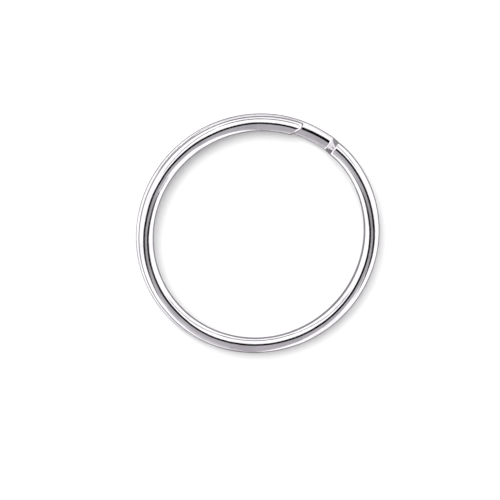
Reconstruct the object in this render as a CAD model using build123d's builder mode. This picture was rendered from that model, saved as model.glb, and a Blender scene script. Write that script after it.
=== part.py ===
from build123d import *
import os
from math import asin, atan2, cos, degrees, pi, radians, sin, sqrt, tan

# Split key ring: one bright-plated spring-steel wire, wound nearly twice round.
# An S-shaped joggle drops the wire from the upper coil to the lower coil, so that
# the coils lie flat on each other, and each ends in a free tip beside the joggle.
# The wire bends all along its length when a tip is prised up, so it is built as a
# run of short spans: those of the two free arms turn on one another, and the base
# spans stay with the joggle.
#
# Frame: the ring lies flat with its lower crown on Z = 0, the middle of its outline
# on the origin and its joggle on the +X side. Angles are in degrees, anticlockwise
# from the joggle. Lengths are in millimetres.

# wire
ring_diameter = 28.0        # outside, averaged all the way round
wire_width = 1.75           # from the ring's inner edge to its outer edge
wire_thickness = 1.2        # one coil, from its mating face to its crown
crown_radius = 0.63 * wire_width     # the dome that the hand feels
crown_edge_radius = 0.4     # where that dome turns into the wire's side
mating_radius = 0.915 * wire_width   # the shallower dome that faces the other coil
mating_edge_radius = 0.25   # where it turns into the wire's side
coil_gap = 0.05             # between the two mating faces when the ring is closed

# winding
coil_step = 0.16            # the upper coil's mean radius is this much smaller
ovality = 0.21              # added on the long axis, taken off the short axis
oval_angle = -5.0           # direction of the long axis
upper_growth = 0.24         # the upper coil's radius grows this much, tip to joggle
lower_growth = 0.08         # the lower coil's radius grows this much, joggle to tip
upper_shift_x = 0.14        # how far the upper coil lies off the middle
upper_shift_y = -0.01
lower_shift_x = -0.02       # how far the lower coil lies off the middle
lower_shift_y = 0.035

# free tips
upper_tip_angle = 18.0      # where the upper coil ends, just past the joggle
lower_tip_angle = 339.0     # where the lower coil ends, just short of the joggle
tip_slant = 29.0            # the shear's angle: the outer edge is the longer one
tip_nose_radius = 2.0       # the tumbled end, seen from above
tip_crown_radius = 0.5      # the end rounds over onto the crown
tip_crown_reach = 0.1       # that rounding would end this far past the nose

# joggle
joggle_bend_radius = 0.25   # each of the S's two bends
joggle_slope = 60.0         # steepest part of the S
joggle_reach = 9.0          # the joggle span ends this far each side of its middle
joggle_stations = 21        # sections that the joggle is lofted through
station_crowding = 0.35     # their spacing in the S, as a share of even spacing

# spans
arm_sweep = 180.0           # how far round the ring each free arm reaches
arm_spans = 6
base_spans = 5              # of each coil, between its free arm and the joggle
span_gap = 0.03             # between the end faces of neighbouring spans

half_thickness = wire_thickness / 2
coil_drop = wire_thickness + coil_gap
level_z = {"lower": half_thickness, "upper": half_thickness + coil_drop}
mean_radius = {"lower": (ring_diameter - wire_width) / 2}
mean_radius["upper"] = mean_radius["lower"] - coil_step
growth = {"lower": lower_growth, "upper": upper_growth}
shift_x = {"lower": lower_shift_x, "upper": upper_shift_x}
shift_y = {"lower": lower_shift_y, "upper": upper_shift_y}
ends = {"lower": (joggle_reach, lower_tip_angle),
        "upper": (upper_tip_angle, 360 - joggle_reach)}


def coil_radius(level, angle):
    """A coil's centre line: its mean, its growth, its ovality and its shift."""
    turned = mean_radius[level] + growth[level] * (angle / 360 - 0.5)
    oval = ovality * cos(radians(2 * (angle - oval_angle)))
    across = shift_x[level] * cos(radians(angle)) + shift_y[level] * sin(radians(angle))
    return turned + oval + across


def on_ring(radius, angle):
    return Vector(radius * cos(radians(angle)), radius * sin(radians(angle)), 0)


def outline_middle():
    """The middle of the box round both coils, before it is moved to the origin."""
    rim = []
    for level, (start, end) in ends.items():
        for angle in range(int(start), int(end) + 1):
            rim.append(on_ring(coil_radius(level, angle) + wire_width / 2, angle))
    xs = [point.X for point in rim]
    ys = [point.Y for point in rim]
    return Vector(min(xs) + max(xs), min(ys) + max(ys), 0) / 2


middle = outline_middle()


def coil_point(level, angle):
    """A point of a coil's centre line, seen from above."""
    return on_ring(coil_radius(level, angle), angle) - middle


def face_points(crown, corner, height, side):
    """One face of the wire: its top, where the dome meets its corner arc, the
    middle of that arc, and where the arc meets the wire's side."""
    half = wire_width / 2
    corner_x = half - corner
    centre_y = height - crown
    corner_y = centre_y + sqrt((crown - corner) ** 2 - corner_x ** 2)
    lean = atan2(corner_x, corner_y - centre_y)
    bow = (lean + pi / 2) / 2
    points = [
        (0, height),
        (crown * sin(lean), centre_y + crown * cos(lean)),
        (corner_x + corner * sin(bow), corner_y + corner * cos(bow)),
        (half, corner_y),
    ]
    return [(x, side * y) for x, y in points]


def wire_section(plane, turned_over):
    """The flattened section of the wire, X outwards and Y up. With turned_over at 0 its
    crown is on top, at 1 it is underneath, and in the joggle it is on its way."""
    radius_step = mating_radius - crown_radius
    corner_step = mating_edge_radius - crown_edge_radius
    up = face_points(crown_radius + radius_step * turned_over,
                     crown_edge_radius + corner_step * turned_over, half_thickness, 1)
    down = face_points(mating_radius - radius_step * turned_over,
                       mating_edge_radius - corner_step * turned_over, half_thickness, -1)
    up_left = [(-x, y) for x, y in up]
    down_left = [(-x, y) for x, y in down]
    with BuildSketch(plane) as section:
        with BuildLine():
            ThreePointArc(up_left[1], up[0], up[1])
            ThreePointArc(up[1], up[2], up[3])
            Line(up[3], down[3])
            ThreePointArc(down[3], down[2], down[1])
            ThreePointArc(down[1], down[0], down_left[1])
            ThreePointArc(down_left[1], down_left[2], down_left[3])
            Line(down_left[3], up_left[3])
            ThreePointArc(up_left[3], up_left[2], up_left[1])
        make_face()
    return section.sketch


def make_span(level, start, end):
    """A span of a coil: its section turned about the middle of the arc it follows."""
    trim = degrees(span_gap / 2 / coil_radius(level, start))
    first = coil_point(level, start + trim)
    last = coil_point(level, end - trim)
    halfway = coil_point(level, (start + end) / 2)
    centre = ThreePointArc(first, halfway, last, mode=Mode.PRIVATE).arc_center
    outward = (first - centre).normalized()
    forward = Vector(0, 0, 1).cross(outward)
    plane = Plane(origin=first + Vector(0, 0, level_z[level]), x_dir=outward, z_dir=-forward)
    section = wire_section(plane, 1 if level == "lower" else 0)
    turn = outward.get_angle(last - centre)
    with BuildPart() as span:
        revolve(section, axis=Axis(centre, (0, 0, 1)), revolution_arc=turn)
    return span.part


def make_tip(level, start, end, tip_angle, way):
    """The last span of an arm. Its end is sheared on a slant and tumbled round.

    way is +1 where the free end points anticlockwise and -1 where it points clockwise.
    """
    point = coil_point(level, tip_angle)
    outward = on_ring(1, tip_angle)
    forward = Vector(0, 0, 1).cross(outward) * way
    slant = radians(tip_slant)
    along_end = outward * cos(slant) + forward * sin(slant)
    off_end = forward * cos(slant) - outward * sin(slant)
    nose_half = wire_width * 0.65 / cos(slant)
    nose_back = tip_nose_radius - sqrt(tip_nose_radius ** 2 - nose_half ** 2)
    up = Vector(0, 0, 1 if level == "upper" else -1)
    plan = Plane(origin=point, x_dir=off_end, z_dir=(0, 0, 1))
    out = plan.y_dir.dot(along_end)
    profile = Plane(origin=point + Vector(0, 0, level_z[level]), x_dir=off_end,
                    z_dir=off_end.cross(up))
    far = ring_diameter
    with BuildPart() as tip:
        add(make_span(level, start, end))
        with BuildSketch(plan):
            with BuildLine():
                ThreePointArc((-nose_back, -nose_half * out), (0, 0), (-nose_back, nose_half * out))
                Polyline((-nose_back, nose_half * out), (-far, far * out), (-far, -far * out),
                         (-nose_back, -nose_half * out))
            make_face()
        extrude(amount=2 * coil_drop, mode=Mode.INTERSECT)
        with BuildSketch(profile):
            with Locations((tip_crown_reach - far / 2, 0)):
                Rectangle(far, wire_thickness)
            crown_corner = vertices().group_by(Axis(profile.origin, off_end))[-1].sort_by(
                Axis(profile.origin, up))[-1]
            fillet(crown_corner, radius=tip_crown_radius)
        extrude(amount=far, both=True, mode=Mode.INTERSECT)
    return tip.part


def joggle_fall(along):
    """How far the wire has dropped at a distance along the S."""
    slope = radians(joggle_slope)
    bend_run = joggle_bend_radius * sin(slope)
    bend_fall = joggle_bend_radius * (1 - cos(slope))
    straight_run = (coil_drop - 2 * bend_fall) / tan(slope)
    half_run = bend_run + straight_run / 2
    into = half_run - abs(along)
    if into <= 0:
        fall = 0
    elif into < bend_run:
        fall = joggle_bend_radius * (1 - cos(asin(into / joggle_bend_radius)))
    else:
        fall = bend_fall + (into - bend_run) * tan(slope)
    return coil_drop - fall if along > 0 else fall


def make_joggle():
    """The S between the coils. The die presses it straight down, so its sections stay
    upright, and it is lofted while the wire's section turns over."""
    reach = radians(joggle_reach) * mean_radius["lower"] - span_gap / 2
    sections = []
    for station in range(joggle_stations):
        share = 2 * station / (joggle_stations - 1) - 1
        along = reach * share * (station_crowding + (1 - station_crowding) * share ** 2)
        angle = degrees(along / mean_radius["lower"])
        part_way = (along / reach + 1) / 2
        smooth = part_way * part_way * (3 - 2 * part_way)
        radius = (coil_radius("upper", 360 + angle) * (1 - smooth)
                  + coil_radius("lower", angle) * smooth)
        fall = joggle_fall(along)
        outward = on_ring(1, angle)
        forward = Vector(0, 0, 1).cross(outward)
        point = on_ring(radius, angle) - middle + Vector(0, 0, level_z["upper"] - fall)
        plane = Plane(origin=point, x_dir=outward, z_dir=-forward)
        sections.append(wire_section(plane, fall / coil_drop))
    with BuildPart() as joggle:
        loft(sections, ruled=True)
    return joggle.part


def save(part, name):
    part.label = name
    export_step(part, f"parts/{name}.step")


os.makedirs("parts", exist_ok=True)
save(make_joggle(), "joggle")

# Each coil is counted from the joggle: its base spans first, then its free arm.
arm_span = arm_sweep / arm_spans
upper_lift_angle = upper_tip_angle + arm_sweep
upper_base_span = (360 - joggle_reach - upper_lift_angle) / base_spans
for number in range(base_spans):
    end = 360 - joggle_reach - number * upper_base_span
    save(make_span("upper", end - upper_base_span, end), f"upper_base_{number + 1}")
for number in range(arm_spans - 1):
    end = upper_lift_angle - number * arm_span
    save(make_span("upper", end - arm_span, end), f"upper_arm_{number + 1}")
past_tip = degrees(wire_width / mean_radius["lower"])
save(make_tip("upper", upper_tip_angle - past_tip, upper_tip_angle + arm_span,
              upper_tip_angle, -1), "upper_tip")

lower_lift_angle = lower_tip_angle - arm_sweep
lower_base_span = (lower_lift_angle - joggle_reach) / base_spans
for number in range(base_spans):
    start = joggle_reach + number * lower_base_span
    save(make_span("lower", start, start + lower_base_span), f"lower_base_{number + 1}")
for number in range(arm_spans - 1):
    start = lower_lift_angle + number * arm_span
    save(make_span("lower", start, start + arm_span), f"lower_arm_{number + 1}")
save(make_tip("lower", lower_tip_angle - arm_span, lower_tip_angle + past_tip,
              lower_tip_angle, 1), "lower_tip")
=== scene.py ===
# Split key ring: one length of flattened spring wire, nickel plated, wound nearly twice
# round. The wire is one smooth surface, cut into pieces along each arm.
import bpy
import numpy as np
from mathutils import Matrix


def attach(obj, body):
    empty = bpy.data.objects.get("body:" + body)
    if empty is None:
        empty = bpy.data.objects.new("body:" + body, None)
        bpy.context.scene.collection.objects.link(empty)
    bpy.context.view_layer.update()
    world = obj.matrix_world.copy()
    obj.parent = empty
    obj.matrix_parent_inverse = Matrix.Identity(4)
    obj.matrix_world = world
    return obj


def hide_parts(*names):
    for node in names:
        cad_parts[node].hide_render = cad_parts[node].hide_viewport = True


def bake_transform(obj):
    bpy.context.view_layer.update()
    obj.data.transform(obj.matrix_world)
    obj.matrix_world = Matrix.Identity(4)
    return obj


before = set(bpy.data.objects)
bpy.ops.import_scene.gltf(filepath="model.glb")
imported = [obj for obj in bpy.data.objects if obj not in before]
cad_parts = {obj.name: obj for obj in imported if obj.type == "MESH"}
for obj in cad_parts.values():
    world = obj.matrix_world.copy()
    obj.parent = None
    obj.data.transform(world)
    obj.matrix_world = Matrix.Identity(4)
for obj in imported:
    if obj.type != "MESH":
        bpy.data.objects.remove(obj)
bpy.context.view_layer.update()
print("frame loaded:", len(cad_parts), "nodes")

mm = 0.001

# The wire and how it is wound, in millimetres and degrees. Angles run anticlockwise from
# the joggle. The path goes on counting: 18 is the upper tip, 360 the joggle, 699 the
# lower tip.
wire = {
    "width": 1.75,
    "thickness": 1.2,
    "crownRadius": 1.1025,   # the dome that the hand feels
    "crownCorner": 0.4,
    "matingRadius": 1.60125, # the shallower dome that faces the other coil
    "matingCorner": 0.25,
    "coilGap": 0.05,
    "domeSteps": 18,
    "cornerSteps": 9,
}
ring = {
    "outside": 28.0,
    "coilStep": 0.16,
    "ovality": 0.21,
    "ovalAngle": -5.0,
    "growth": {"upper": 0.24, "lower": 0.08},
    "shift": {"upper": (0.14, -0.01), "lower": (-0.02, 0.035)},
    "upperTip": 18.0,
    "lowerTip": 339.0,
    "joggleHalf": 9.0,
    "rowStep": 0.4,
    "joggleStep": 0.08,      # finer rows, this far each side of the joggle's middle:
    "joggleZone": 7.0,
}
joggle = {"bendRadius": 0.25, "slope": 60.0}
tip = {
    "slant": 29.0,          # the outer edge is the longer one
    "noseRadius": 2.0,
    "roundOnDome": 0.5,
    "roundOnFlat": 0.12,
    "zone": 2.6,            # rows start to lean this far before the end
    "bulge": 0.03,          # the end face is this much fuller in its middle
    "leanRows": 24,
    "edgeRows": 15,
    "faceRows": 7,
}
arm = {"spans": 6, "spanAngle": 30.0}
# Coiling leaves the wire rolled a degree or two one way and the other: size in degrees,
# length in degrees of turn, and where it starts. A knock is a short stretch that was
# rolled further by the tool: where it starts and ends, and by how much.
roll = {
    "waves": ((1.3, 53.0, 0.0), (0.8, 29.0, 1.0), (0.5, 17.0, 2.0)),
    "knocks": ((181.0, 207.0, -3.0), (243.5, 255.0, 2.0), (96.0, 104.0, 1.5),
               (424.0, 441.0, 2.0), (560.0, 575.0, -2.5)),
    "edge": 1.6,             # a knock fades in and out over this many degrees
}

coilDrop = wire["thickness"] + wire["coilGap"]
upperHeight = wire["thickness"] / 2 + coilDrop
meanRadius = {"lower": (ring["outside"] - wire["width"]) / 2}
meanRadius["upper"] = meanRadius["lower"] - ring["coilStep"]


# A coil's centre line: its mean radius, its steady growth, its ovality and its shift.
def coilRadius(level, angle):
    turn = np.radians(angle)
    shiftX, shiftY = ring["shift"][level]
    oval = ring["ovality"] * np.cos(2 * (turn - np.radians(ring["ovalAngle"])))
    grown = meanRadius[level] + ring["growth"][level] * (angle / 360 - 0.5)
    return grown + oval + shiftX * np.cos(turn) + shiftY * np.sin(turn)


# The middle of the box round both coils, which is the frame's origin.
def outlineMiddle():
    rims = []
    for level, first, last in (("lower", ring["joggleHalf"], ring["lowerTip"]),
                               ("upper", ring["upperTip"], 360 - ring["joggleHalf"])):
        angle = np.arange(int(first), int(last) + 1.0)
        rim = coilRadius(level, angle) + wire["width"] / 2
        rims.append(np.stack([rim * np.cos(np.radians(angle)),
                              rim * np.sin(np.radians(angle))], 1))
    rims = np.concatenate(rims)
    return (rims.min(0) + rims.max(0)) / 2


middle = outlineMiddle()


# Radius along the whole path: the upper coil's turns into the lower coil's through the
# joggle, by a smooth step.
def pathRadius(angle):
    share = np.clip((angle - 360) / ring["joggleHalf"] / 2 + 0.5, 0, 1)
    smooth = share * share * (3 - 2 * share)
    return coilRadius("upper", angle) * (1 - smooth) + coilRadius("lower", angle - 360) * smooth


# How far the path has dropped in the joggle: an arc, a straight slope, an arc.
def joggleFall(angle):
    along = np.radians(angle - 360) * meanRadius["lower"]
    slope = np.radians(joggle["slope"])
    bend = joggle["bendRadius"]
    bendRun, bendFall = bend * np.sin(slope), bend * (1 - np.cos(slope))
    halfRun = bendRun + (coilDrop - 2 * bendFall) / np.tan(slope) / 2
    into = np.clip(halfRun - np.abs(along), 0, None)
    arcFall = bend * (1 - np.cos(np.arcsin(np.clip(into / bend, 0, 1))))
    fall = np.where(into < bendRun, arcFall, bendFall + (into - bendRun) * np.tan(slope))
    return np.where(along > 0, coilDrop - fall, fall)


# The path's centre and its outward direction at any angles. Sections stand upright: the
# die that makes the joggle presses the wire straight down.
def pathFrame(angle):
    turn = np.radians(angle)
    radius = pathRadius(angle)
    small = 0.02
    drift = (pathRadius(angle + small) - pathRadius(angle - small)) / np.radians(2 * small)
    heading = turn - np.arctan2(drift, radius)
    outward = np.stack([np.cos(heading), np.sin(heading), np.zeros_like(turn)], -1)
    centre = np.stack([radius * np.cos(turn) - middle[0], radius * np.sin(turn) - middle[1],
                       upperHeight - joggleFall(angle)], -1)
    return centre, outward


# One face of the wire from its middle to its side: an arc of the dome's radius, then the
# corner's arc, which starts where the dome's normal has leant over to meet it.
def faceArc(crown, corner):
    cornerX = wire["width"] / 2 - corner
    cornerY = np.sqrt((crown - corner) ** 2 - cornerX ** 2)
    lean = np.arctan2(cornerX, cornerY)
    dome = lean * np.linspace(0, 1, wire["domeSteps"])
    bend = lean + (np.pi / 2 - lean) * np.linspace(0, 1, wire["cornerSteps"])[1:]
    base = wire["thickness"] / 2 - crown
    across = np.concatenate([crown * np.sin(dome), cornerX + corner * np.sin(bend)], -1)
    height = np.concatenate([base + crown * np.cos(dome),
                             base + cornerY + corner * np.cos(bend)], -1)
    tilt = np.concatenate([dome, bend], -1)
    return across, height, np.sin(tilt), np.cos(tilt)


# The flattened section, with its crown on top where turned is 0 and underneath where it
# is 1. Gives across, height and the two parts of the outward normal, clockwise.
def wireSection(turned):
    turned = np.asarray(turned, float)[..., None]
    radiusStep = wire["matingRadius"] - wire["crownRadius"]
    cornerStep = wire["matingCorner"] - wire["crownCorner"]
    top = faceArc(wire["crownRadius"] + radiusStep * turned,
                  wire["crownCorner"] + cornerStep * turned)
    low = faceArc(wire["matingRadius"] - radiusStep * turned,
                  wire["matingCorner"] - cornerStep * turned)
    signs = ((1, 1), (1, -1), (-1, -1), (-1, 1))
    section = []
    for part in range(4):
        isHeight = part % 2
        pieces = []
        for quarter, (side, rise) in enumerate(signs):
            values = (top if rise > 0 else low)[part] * (rise if isHeight else side)
            if quarter in (1, 3):
                values = values[..., ::-1]
            if quarter > 1:
                values = values[..., 1:] if quarter == 2 else values[..., :-1]
            pieces.append(values)
        section.append(np.concatenate(pieces, -1))
    return section


# Rows of path angles between two ends, finer through the joggle.
def rowAngles(first, last):
    coarse = np.arange(first, last, ring["rowStep"])
    zone = ring["joggleZone"]
    fine = np.arange(360 - zone, 360 + zone, ring["joggleStep"])
    fine = fine[(fine > first) & (fine < last)]
    if len(fine):
        coarse = coarse[(coarse < fine[0] - 0.05) | (coarse > fine[-1] + 0.05)]
    return np.append(np.sort(np.concatenate([coarse, fine])), last)


# How far the section is rolled outwards at an angle: sine waves and smooth-edged knocks.
def rollAngle(angle):
    total = sum(size * np.sin(2 * np.pi * angle / length + start)
                for size, length, start in roll["waves"])
    for first, last, size in roll["knocks"]:
        share = np.clip(np.minimum(angle - first, last - angle) / roll["edge"] + 0.5, 0, 1)
        total = total + size * share * share * (3 - 2 * share)
    return np.radians(total)


# Points of the wire's surface where its rows have these angles, one for each point.
def surfacePoints(angle, across, height):
    centre, outward = pathFrame(angle)
    turned = rollAngle(angle)
    points = centre + outward * (across * np.cos(turned) + height * np.sin(turned))[..., None]
    points[..., 2] += height * np.cos(turned) - across * np.sin(turned)
    along = np.radians(angle) * meanRadius["lower"]
    return points, np.stack([across, height, along], -1)


# The free end. Rows lean over to the shear's slant, roll over the edge by a quarter
# circle that is larger on the dome, and close in on one point. way is +1 where the end
# points along the path and -1 where it points back.
def tipRows(startAngle, endAngle, turned, way):
    across, height, normalX, normalY = [part[None] for part in wireSection(turned)]
    perDegree = np.radians(1) * pathRadius(np.array(endAngle))
    slant = np.radians(tip["slant"])
    domeSide = (height if turned < 0.5 else -height) / wire["thickness"] + 0.5
    ease = np.clip(domeSide, 0, 1) ** 2 * (3 - 2 * np.clip(domeSide, 0, 1))
    edge = tip["roundOnFlat"] + (tip["roundOnDome"] - tip["roundOnFlat"]) * ease

    def reach(x):
        skew = x / np.cos(slant)
        return x * np.tan(slant) - skew ** 2 / (2 * tip["noseRadius"]) / np.cos(slant)

    zone = min(tip["zone"], abs(endAngle - startAngle) * perDegree * 0.9)
    plain = rowAngles(min(startAngle, endAngle - way * zone / perDegree),
                      max(startAngle, endAngle - way * zone / perDegree))[::way]
    rows = [(plain[:, None] + 0 * across, across + 0 * plain[:, None], height + 0 * plain[:, None])]
    lean = np.linspace(0, 1, tip["leanRows"] + 2)[1:-1, None]
    back = zone + (edge - reach(across) - zone) * lean
    rows.append((endAngle - way * back / perDegree, across + 0 * lean, height + 0 * lean))
    over = np.radians(np.linspace(0, 90, tip["edgeRows"]))[:, None]
    x = across - normalX * edge * (1 - np.cos(over))
    y = height - normalY * edge * (1 - np.cos(over))
    rows.append((endAngle - way * (edge * (1 - np.sin(over)) - reach(x)) / perDegree, x, y))
    shrink = np.linspace(1, 0, tip["faceRows"] + 2)[1:-1, None]
    heart = (y[-1].min() + y[-1].max()) / 2
    x, y = x[-1] * shrink, heart + (y[-1] - heart) * shrink
    swell = tip["bulge"] * (1 - shrink ** 2)
    rows.append((endAngle + way * (reach(x) + swell) / perDegree, x, y))
    angle, x, y = [np.concatenate(part) for part in zip(*rows)]
    pole = (np.array([endAngle + way * tip["bulge"] / perDegree]), np.zeros(1), np.array([heart]))
    return angle, x, y, pole


# A closed tube through rows of points, with a flat lid or a pole at each end.
def tubeMesh(name, points, space, pole=None):
    rows, count = points.shape[:2]
    verts = points.reshape(-1, 3)
    attribute = space.reshape(-1, 3)
    row, col = np.meshgrid(np.arange(rows - 1), np.arange(count), indexing="ij")
    after = (col + 1) % count
    quads = np.stack([row * count + col, row * count + after, (row + 1) * count + after,
                      (row + 1) * count + col], -1).reshape(-1, 4)
    a, b, c = (verts[quads[:, k]] for k in (0, 1, 2))
    inward = np.einsum("ij,ij->i", a, np.cross(b, c)).sum() < 0
    if inward:
        quads = quads[:, ::-1]
    lastRow = (rows - 1) * count + np.arange(count)
    lids = [np.arange(count)]
    fan = np.zeros((0, 3), int)
    if pole is None:
        lids.append(lastRow[::-1])
    else:
        verts = np.concatenate([verts, pole[0]])
        attribute = np.concatenate([attribute, pole[1]])
        fan = np.stack([lastRow, np.roll(lastRow, -1), np.full(count, rows * count)], 1)
    if inward:
        lids, fan = [lid[::-1] for lid in lids], fan[:, ::-1]
    lids = [lid[::-1] for lid in lids]
    mesh = bpy.data.meshes.new(name)
    mesh.from_pydata((verts * mm).tolist(), [], quads.tolist() + fan.tolist()
                     + [lid.tolist() for lid in lids])
    mesh.shade_smooth()
    # the flat lids meet the wire at a sharp edge, so that its sides shade evenly
    ends = np.zeros(len(mesh.edges) * 2, int)
    mesh.edges.foreach_get("vertices", ends)
    atRow = ends.reshape(-1, 2) // count
    sharp = (atRow == 0).all(1)
    if pole is None:
        sharp |= (atRow == rows - 1).all(1)
    mesh.attributes.new("sharp_edge", "BOOLEAN", "EDGE").data.foreach_set("value", sharp)
    mesh.attributes.new("wireSpace", "FLOAT_VECTOR", "POINT").data.foreach_set(
        "vector", attribute.astype(np.float32).ravel())
    mesh.validate()
    piece = bpy.data.objects.new(name, mesh)
    bpy.context.scene.collection.objects.link(piece)
    return piece


def plainPiece(name, first, last):
    angle = rowAngles(first, last)
    across, height, _, _ = wireSection(joggleFall(angle) / coilDrop)
    points, space = surfacePoints(angle[:, None] + 0 * across, across, height)
    return tubeMesh(name, points, space)


def tipPiece(name, startAngle, endAngle, way):
    turned = 0.0 if endAngle < 360 else 1.0
    angle, across, height, pole = tipRows(startAngle, endAngle, turned, way)
    points, space = surfacePoints(angle, across, height)
    return tubeMesh(name, points, space, surfacePoints(*pole))


def addNode(tree, kind, inputs=None, **settings):
    node = tree.nodes.new(kind)
    for name, value in settings.items():
        setattr(node, name, value)
    for name, value in (inputs or {}).items():
        if isinstance(value, bpy.types.NodeSocket):
            tree.links.new(value, node.inputs[name])
        else:
            node.inputs[name].default_value = value
    return node


# sRGB hex to the linear colour that the shader takes
def linearColour(code):
    values = [int(code[k:k + 2], 16) / 255 for k in (1, 3, 5)]
    return [v / 12.92 if v <= 0.04045 else ((v + 0.055) / 1.055) ** 2.4 for v in values] + [1]


plate = {
    "bright": "#EAE8EB",
    "dull": "#D2CFD3",
    "roughness": (0.07, 0.16),
    "drawLines": 14.0,       # lines to a millimetre across the wire
    "drawLength": 0.22,      # and along it, so that each is a few millimetres long
    "drawDepth": 0.0000006,
    "waveSize": 0.55,        # waves to a millimetre
    "waveDepth": 0.000006,
    "pitSize": 5.0,
    "pitDepth": 0.0000016,
    "cloud": (0.9, 0.9, 0.35),  # patches of duller plate, longer along the wire
    "cloudSpan": (0.35, 0.8),
    "lineSpan": (0.3, 0.75),
}


# Bright nickel plate on drawn and rolled spring wire, tumbled after it was cut. The eye
# gets a hard mirror with a faint grey cast, broken by drawing lines that run with the
# wire, by slow waves from the coiling and by the small knocks of tumbling.
def nickelPlate():
    material = bpy.data.materials.new("brightNickelPlate")
    material.use_nodes = True
    tree = material.node_tree
    shader = tree.nodes["Principled BSDF"]
    space = addNode(tree, "ShaderNodeAttribute", attribute_name="wireSpace").outputs["Vector"]

    def noise(scale, detail):
        stretched = addNode(tree, "ShaderNodeMapping", {"Vector": space, "Scale": scale})
        return addNode(tree, "ShaderNodeTexNoise",
                       {"Vector": stretched.outputs[0], "Scale": 1.0, "Detail": detail,
                        "Roughness": 0.5}).outputs["Fac"]

    lines = noise((plate["drawLines"], plate["drawLines"], plate["drawLength"]), 3.0)
    waves = noise((plate["waveSize"],) * 3, 1.0)
    pits = noise((plate["pitSize"],) * 3, 2.0)
    cloud = noise(plate["cloud"], 3.0)
    ramp = addNode(tree, "ShaderNodeValToRGB", {"Fac": cloud})
    tones = zip(ramp.color_ramp.elements, plate["cloudSpan"], (plate["bright"], plate["dull"]))
    for element, place, code in tones:
        element.position = place
        element.color = linearColour(code)
    rough = addNode(tree, "ShaderNodeMapRange",
                    {"Value": lines, "From Min": plate["lineSpan"][0],
                     "From Max": plate["lineSpan"][1],
                     "To Min": plate["roughness"][0], "To Max": plate["roughness"][1]})
    bump = None
    for height, depth in ((waves, plate["waveDepth"]), (pits, plate["pitDepth"]),
                          (lines, plate["drawDepth"])):
        inputs = {"Height": height, "Strength": 1.0, "Distance": depth}
        if bump:
            inputs["Normal"] = bump.outputs[0]
        bump = addNode(tree, "ShaderNodeBump", inputs)
    shader.inputs["Metallic"].default_value = 1.0
    tree.links.new(ramp.outputs[0], shader.inputs["Base Color"])
    tree.links.new(rough.outputs[0], shader.inputs["Roughness"])
    tree.links.new(bump.outputs[0], shader.inputs["Normal"])
    return material


nickel = nickelPlate()
print("nickel plate made")


def finishPiece(piece, nodes):
    piece.data.materials.append(nickel)
    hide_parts(*nodes)


# The base: both coils from the arms' first hinges through the joggle.
half = arm["spanAngle"] / 2
reachOfArm = arm["spans"] * arm["spanAngle"]
upperRoot = ring["upperTip"] + reachOfArm
lowerRoot = ring["lowerTip"] - reachOfArm + 360
base = plainPiece("base_coils", upperRoot + half, lowerRoot - half)
baseNodes = [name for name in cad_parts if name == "joggle" or "_base_" in name]
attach(base, "base")
finishPiece(base, baseNodes)
print("base coils made:", len(base.data.polygons), "faces")

# The arms: each piece spans one hinge, from its middle half a span each way.
for level, root, way in (("upper", upperRoot, -1), ("lower", lowerRoot, 1)):
    for number in range(arm["spans"]):
        hinge = root + way * number * arm["spanAngle"]
        first, last = hinge - way * half, hinge + way * half
        isTip = number == arm["spans"] - 1
        body = f"{level}_tip" if isTip else f"{level}_arm_{number + 1}"
        if isTip:
            end = ring["upperTip"] if level == "upper" else ring["lowerTip"] + 360
            piece = tipPiece(f"{level}_tip_end", first, end, way)
        else:
            piece = plainPiece(f"{level}_bend_{number + 1}", min(first, last), max(first, last))
        finishPiece(piece, [body])
        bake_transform(piece)
    print(level, "arm made")

# Studio: pale paper, with painted shade where the wire mirrors it, one soft key light and a
# bright tent round the ring. The camera looks through a dark arched slot in the tent; grey
# cards hang below it and a dark frame above.
# Angles are in degrees from straight up, towards the camera's top or its right.
studio = {
    "imageUp": 39.5,         # direction on the floor that the camera's top points in
    "cameraLean": 10.0,
    "distance": 400.0,
    "lens": 249.0,
    "aimRight": -0.83,
    "aimUp": -2.0,
    "tent": 1.4,
    "slot": (-8.0, 16.0),    # bottom and top of the arch in its middle
    "slotHalf": 40.0,
    "archDroop": 1.24,       # radians for each radian squared
    "slotColour": "#040404",
    "card": "#C2BFC4",
    "cardHalf": 22.0,
    "leftCard": "#DAD8DC",
    "leftCardFade": (-10.0, -30.0),
    "frameTop": 57.0,
    "frameSide": 36.0,
    "frameHalf": (5.0, 3.0),  # half the width of its top bar and of its side bars
    "frameColour": "#1C1B1D",
    "background": "#F4F4F4",
    "paper": "#DCDCDC",
    # painted shade: the paper's colour as the wire mirrors it, darker than the paper itself
    "paperMirroredPaintedShade": "#787679",
    "keySide": (116.0, 33.0),  # its direction round the view, and off the vertical
    "keySize": 60.0,
    "keyStrength": 3.6,
}
turnUp = np.radians(studio["imageUp"])
viewUp = np.array([np.cos(turnUp), np.sin(turnUp), 0])
viewRight = np.array([np.sin(turnUp), -np.cos(turnUp), 0])
zenith = np.array([0.0, 0.0, 1.0])


def setUpCamera():
    lean = np.radians(studio["cameraLean"])
    toCamera = np.cos(lean) * zenith + np.sin(lean) * viewUp
    upward = np.cos(lean) * viewUp - np.sin(lean) * zenith
    target = studio["aimRight"] * viewRight + studio["aimUp"] * viewUp
    place = (target + studio["distance"] * toCamera) * mm
    data = bpy.data.cameras.new("camera")
    data.lens = studio["lens"]
    data.sensor_width = 36.0
    data.clip_start = 0.01
    camera = bpy.data.objects.new("camera", data)
    camera.matrix_world = Matrix([[viewRight[k], upward[k], toCamera[k], place[k]]
                                  for k in range(3)] + [[0, 0, 0, 1]])
    bpy.context.scene.collection.objects.link(camera)
    bpy.context.scene.camera = camera


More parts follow.
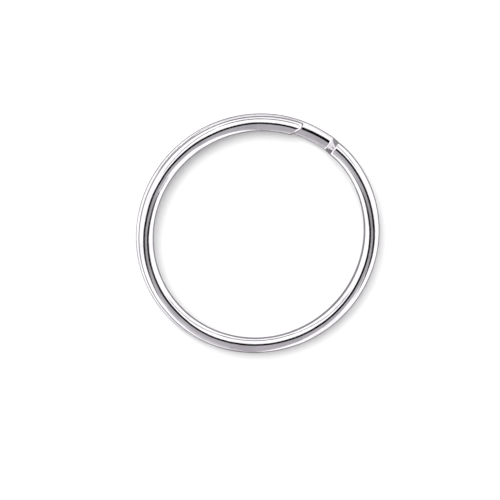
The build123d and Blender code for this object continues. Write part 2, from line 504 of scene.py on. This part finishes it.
def setUpKey():
    side, off = np.radians(studio["keySide"])
    toward = np.cos(off) * zenith + np.sin(off) * (np.cos(side) * viewRight + np.sin(side) * viewUp)
    data = bpy.data.lights.new("key", "SUN")
    data.energy = studio["keyStrength"]
    data.angle = np.radians(studio["keySize"])
    key = bpy.data.objects.new("key", data)
    across = np.cross(viewUp, toward)
    across /= np.linalg.norm(across)
    upward = np.cross(toward, across)
    key.matrix_world = Matrix([[across[k], upward[k], toward[k], 0]
                               for k in range(3)] + [[0, 0, 0, 1]])
    key.visible_glossy = False   # its own disc isn't in the tent's reflection
    bpy.context.scene.collection.objects.link(key)


def setUpWorld():
    world = bpy.data.worlds.new("tent")
    world.use_nodes = True
    tree = world.node_tree
    tree.nodes.clear()
    toward = addNode(tree, "ShaderNodeTexCoord").outputs["Generated"]

    def dot(axis):
        return addNode(tree, "ShaderNodeVectorMath", {0: toward, 1: axis},
                       operation="DOT_PRODUCT").outputs["Value"]

    def maths(kind, a, b=0.0):
        return addNode(tree, "ShaderNodeMath", {0: a, 1: b}, operation=kind).outputs[0]

    def step(value, start, stop):
        return addNode(tree, "ShaderNodeMapRange",
                       {"Value": value, "From Min": np.radians(start), "From Max": np.radians(stop)},
                       interpolation_type="SMOOTHSTEP").outputs[0]

    def within(value, limit, soft):
        return step(value, limit + soft, limit - soft)

    def between(value, low, high, soft):
        return maths("MULTIPLY", step(value, low - soft, low + soft), within(value, high, soft))

    height = dot(zenith)
    signed = maths("ARCTAN2", dot(viewRight), height)
    right = maths("ABSOLUTE", signed)
    up = maths("ARCTAN2", dot(viewUp), height)
    # the slot is an arch: its middle line drops with the square of the distance from it
    droop = maths("MULTIPLY", maths("MULTIPLY", right, right), studio["archDroop"])
    line = maths("ADD", up, droop)
    low, high = studio["slot"]
    slot = maths("MULTIPLY", between(line, low, high, 1.5), within(right, studio["slotHalf"], 2))
    under = within(line, low, 1)
    card = maths("MULTIPLY", under, within(right, studio["cardHalf"], 3))
    leftCard = maths("MULTIPLY", under, step(signed, *studio["leftCardFade"]))
    topHalf, sideHalf = studio["frameHalf"]
    side = maths("MULTIPLY", between(right, studio["frameSide"] - sideHalf,
                                     studio["frameSide"] + sideHalf, 1.0),
                 between(up, high, studio["frameTop"], 1.0))
    top = maths("MULTIPLY", between(up, studio["frameTop"] - topHalf,
                                    studio["frameTop"] + topHalf, 1.0),
                within(right, studio["frameSide"], 3))
    colour = [studio["tent"]] * 3 + [1]
    for share, code in ((leftCard, studio["leftCard"]), (card, studio["card"]),
                        (maths("MAXIMUM", side, top), studio["frameColour"]),
                        (slot, studio["slotColour"])):
        colour = addNode(tree, "ShaderNodeMixRGB", {"Fac": share, "Color1": colour,
                                                    "Color2": linearColour(code)}).outputs[0]
    seen = addNode(tree, "ShaderNodeLightPath").outputs["Is Camera Ray"]
    colour = addNode(tree, "ShaderNodeMixRGB", {"Fac": seen, "Color1": colour,
                                                "Color2": linearColour(studio["background"])})
    light = addNode(tree, "ShaderNodeBackground", {"Color": colour.outputs[0]})
    addNode(tree, "ShaderNodeOutputWorld", {"Surface": light.outputs[0]})
    bpy.context.scene.world = world


def setUpFloor():
    size = 3.0
    mesh = bpy.data.meshes.new("floor")
    mesh.from_pydata([(-size, -size, 0), (size, -size, 0), (size, size, 0), (-size, size, 0)],
                     [], [(0, 1, 2, 3)])
    floor = bpy.data.objects.new("floor", mesh)
    paper = bpy.data.materials.new("mattPaper")
    paper.use_nodes = True
    shader = paper.node_tree.nodes["Principled BSDF"]
    # painted shade in the reflection: glossy rays see the paper darker than it is, which draws dark
    # outlines along the wire's sides
    mirrored = addNode(paper.node_tree, "ShaderNodeLightPath").outputs["Is Glossy Ray"]
    tone = addNode(paper.node_tree, "ShaderNodeMixRGB",
                   {"Fac": mirrored, "Color1": linearColour(studio["paper"]),
                    "Color2": linearColour(studio["paperMirroredPaintedShade"])})
    paper.node_tree.links.new(tone.outputs[0], shader.inputs["Base Color"])
    shader.inputs["Roughness"].default_value = 0.95
    shader.inputs["Specular IOR Level"].default_value = 0.1
    mesh.materials.append(paper)
    bpy.context.scene.collection.objects.link(floor)


setUpCamera()
setUpKey()
setUpWorld()
setUpFloor()
bpy.context.scene.view_settings.view_transform = "Standard"
print("studio made")
